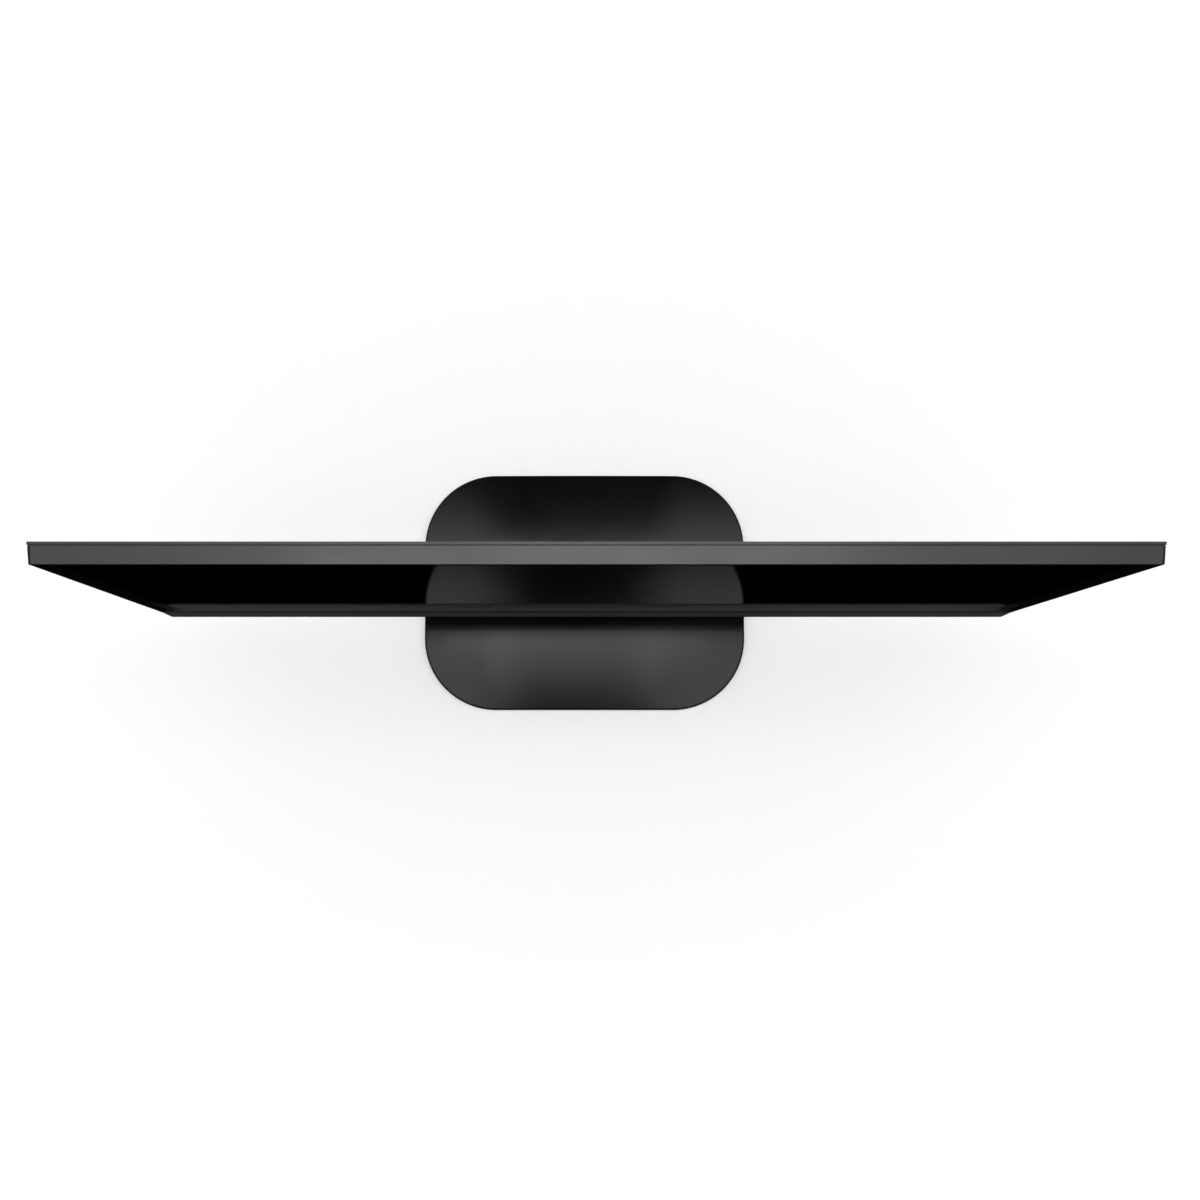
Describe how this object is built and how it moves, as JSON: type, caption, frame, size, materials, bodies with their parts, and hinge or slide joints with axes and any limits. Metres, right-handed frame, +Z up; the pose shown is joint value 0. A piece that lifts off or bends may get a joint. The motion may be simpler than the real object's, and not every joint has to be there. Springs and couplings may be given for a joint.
{
  "type": "desktop monitor",
  "caption": "Flat black desktop monitor with a thin drafted bezel on a short tilting neck and a rounded, gently crowned pedestal base.",
  "frame": {"origin": "centre of the base's footprint, on the surface the feet stand on", "axes": "+X to the right of a person who looks at the screen, +Y away from that person, +Z up"},
  "size_m": [0.544, 0.162, 0.425],
  "materials": {
    "housing_black": "fine-grained satin moulding",
    "chin_black": "satin strip",
    "screen_film": "glossy dark polariser film",
    "cell_glass": "clear glass cell",
    "optical_white": "white optical sheet",
    "guide_clear": "clear acrylic",
    "aluminium_bar": "plain",
    "led_yellow": "phosphor",
    "mould_black": "matte",
    "zinc_steel": "zinc-plated sheet",
    "board_green": "solder resist",
    "film_amber": "flexible film",
    "chip_black": "moulded package",
    "can_silver": "plain can",
    "socket_metal": "tin-plated shell",
    "jack_black": "moulded case",
    "cover_black": "grained moulding",
    "screw_black": "black-oxide steel",
    "post_steel": "turned steel",
    "hinge_steel": "plated steel",
    "spring_steel": "hardened steel",
    "neck_black": "satin moulding",
    "core_cast": "painted casting",
    "base_black": "satin crowned moulding",
    "plate_black": "black-painted steel",
    "foot_rubber": "soft rubber",
    "knob_black": "matte",
    "pipe_clear": "clear light pipe"
  },
  "bodies": {
    "stand": {"neck_core": "core_cast", "hinge_shaft": "hinge_steel", "hinge_washers": "spring_steel", "disc_springs": "spring_steel", "hinge_nuts": "hinge_steel", "neck_front_shell": "neck_black", "neck_rear_shell": "neck_black", "neck_screws": "screw_black", "base_cover": "base_black", "base_plate": "plate_black", "base_feet": "foot_rubber", "base_screws": "screw_black", "base_bolt": "post_steel"},
    "head": {"front_bezel": "housing_black", "chin_trim": "chin_black", "control_pod": "housing_black", "status_light_pipe": "pipe_clear", "front_polarizer": "screen_film", "lcd_glass": "cell_glass", "rear_polarizer": "screen_film", "prism_sheet": "optical_white", "diffuser_sheet": "optical_white", "light_guide": "guide_clear", "reflector_sheet": "optical_white", "led_bar": "aluminium_bar", "led_packages": "led_yellow", "mould_frame": "mould_black", "backlight_tray": "zinc_steel", "source_board": "board_green", "source_flexes": "film_amber", "rear_cover": "cover_black", "cover_screws": "screw_black", "vesa_posts": "post_steel", "board_bracket": "zinc_steel", "main_board": "board_green", "board_screws": "post_steel", "board_chips": "chip_black", "capacitors": "can_silver", "hdmi_sockets": "socket_metal", "displayport_socket": "socket_metal", "dc_jack": "jack_black", "audio_jack": "jack_black", "panel_ribbon": "film_amber", "joystick_switch": "jack_black", "key_board": "board_green", "hinge_bracket": "hinge_steel", "hinge_screws": "screw_black"},
    "joystick_ring": {"joystick_ring": "spring_steel"},
    "joystick_stem": {"joystick_stem": "spring_steel"},
    "joystick_cap": {"joystick_cap": "knob_black"}
  },
  "joints": [
    {"name": "head_tilt", "type": "hinge", "parent": "stand", "child": "head", "pos_m": [0, 0.0055, 0.13], "axis": [-1, 0, 0], "range_deg": [-5, 20]},
    {"name": "joystick_sideways", "type": "hinge", "parent": "head", "child": "joystick_ring", "pos_m": [0, -0.0163, 0.106], "axis": [0, 1, 0], "range_deg": [-5, 5], "stiffness_Nm_per_rad": 0.02},
    {"name": "joystick_fore_aft", "type": "hinge", "parent": "joystick_ring", "child": "joystick_stem", "pos_m": [0, -0.0163, 0.106], "axis": [1, 0, 0], "range_deg": [-5, 5], "stiffness_Nm_per_rad": 0.02},
    {"name": "joystick_press", "type": "slide", "parent": "joystick_stem", "child": "joystick_cap", "axis": [0, 0, 1], "range_m": [0, 0.0005], "stiffness_N_per_m": 800, "springref_m": -0.0002}
  ]
}
